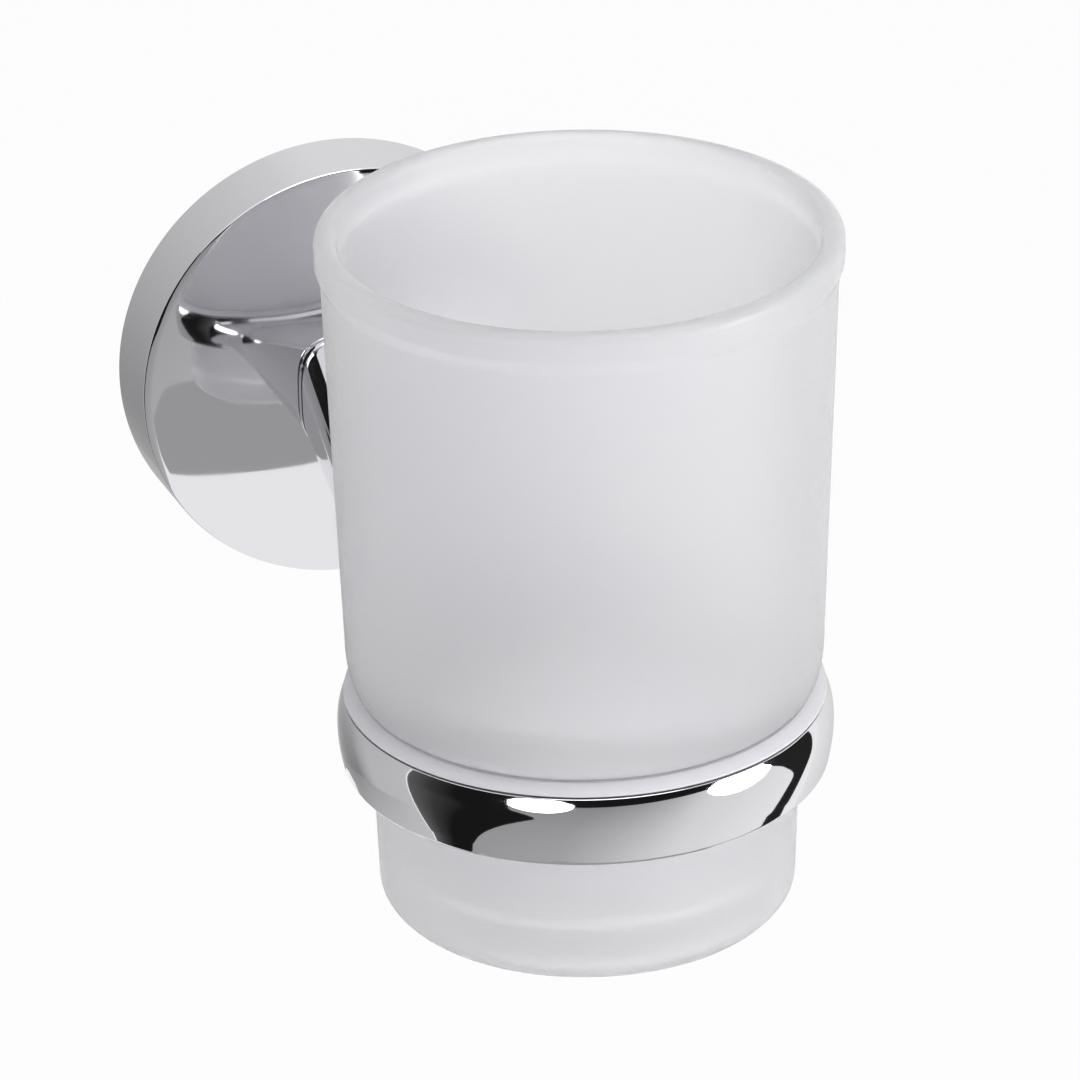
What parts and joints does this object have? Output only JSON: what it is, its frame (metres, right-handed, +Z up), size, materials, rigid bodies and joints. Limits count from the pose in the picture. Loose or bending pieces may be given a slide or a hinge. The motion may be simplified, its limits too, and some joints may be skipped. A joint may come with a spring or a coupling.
{
  "type": "toothbrush holder",
  "caption": "Wall-mounted toothbrush holder: a frosted glass tumbler hanging by its shoulder in a chromed ring on an arm, with a round, slightly domed chromed base.",
  "frame": {"origin": "centre of the round base on the face that lies against the wall", "axes": "+Z up, +Y into the wall, the ring comes forward along -Y"},
  "size_m": [0.068, 0.1405, 0.0953],
  "materials": {
    "chrome": "polished chrome plate",
    "frosted_glass": "etched all over, satin",
    "liner_plastic": "translucent, smooth",
    "raw_zinc": "zinc casting, dull",
    "screw_steel": "stainless, turned"
  },
  "bodies": {
    "holder": {"wall_plate": "raw_zinc", "rosette": "chrome", "set_screw": "screw_steel", "ring_arm": "chrome", "arm_screw": "screw_steel", "lock_washer": "screw_steel", "locating_pin": "screw_steel", "ring_liner": "liner_plastic"},
    "tumbler": {"tumbler": "frosted_glass"}
  },
  "joints": [
    {"name": "tumbler_lift", "type": "slide", "parent": "holder", "child": "tumbler", "axis": [0, 0, 1], "range_m": [0, 0.04]}
  ]
}
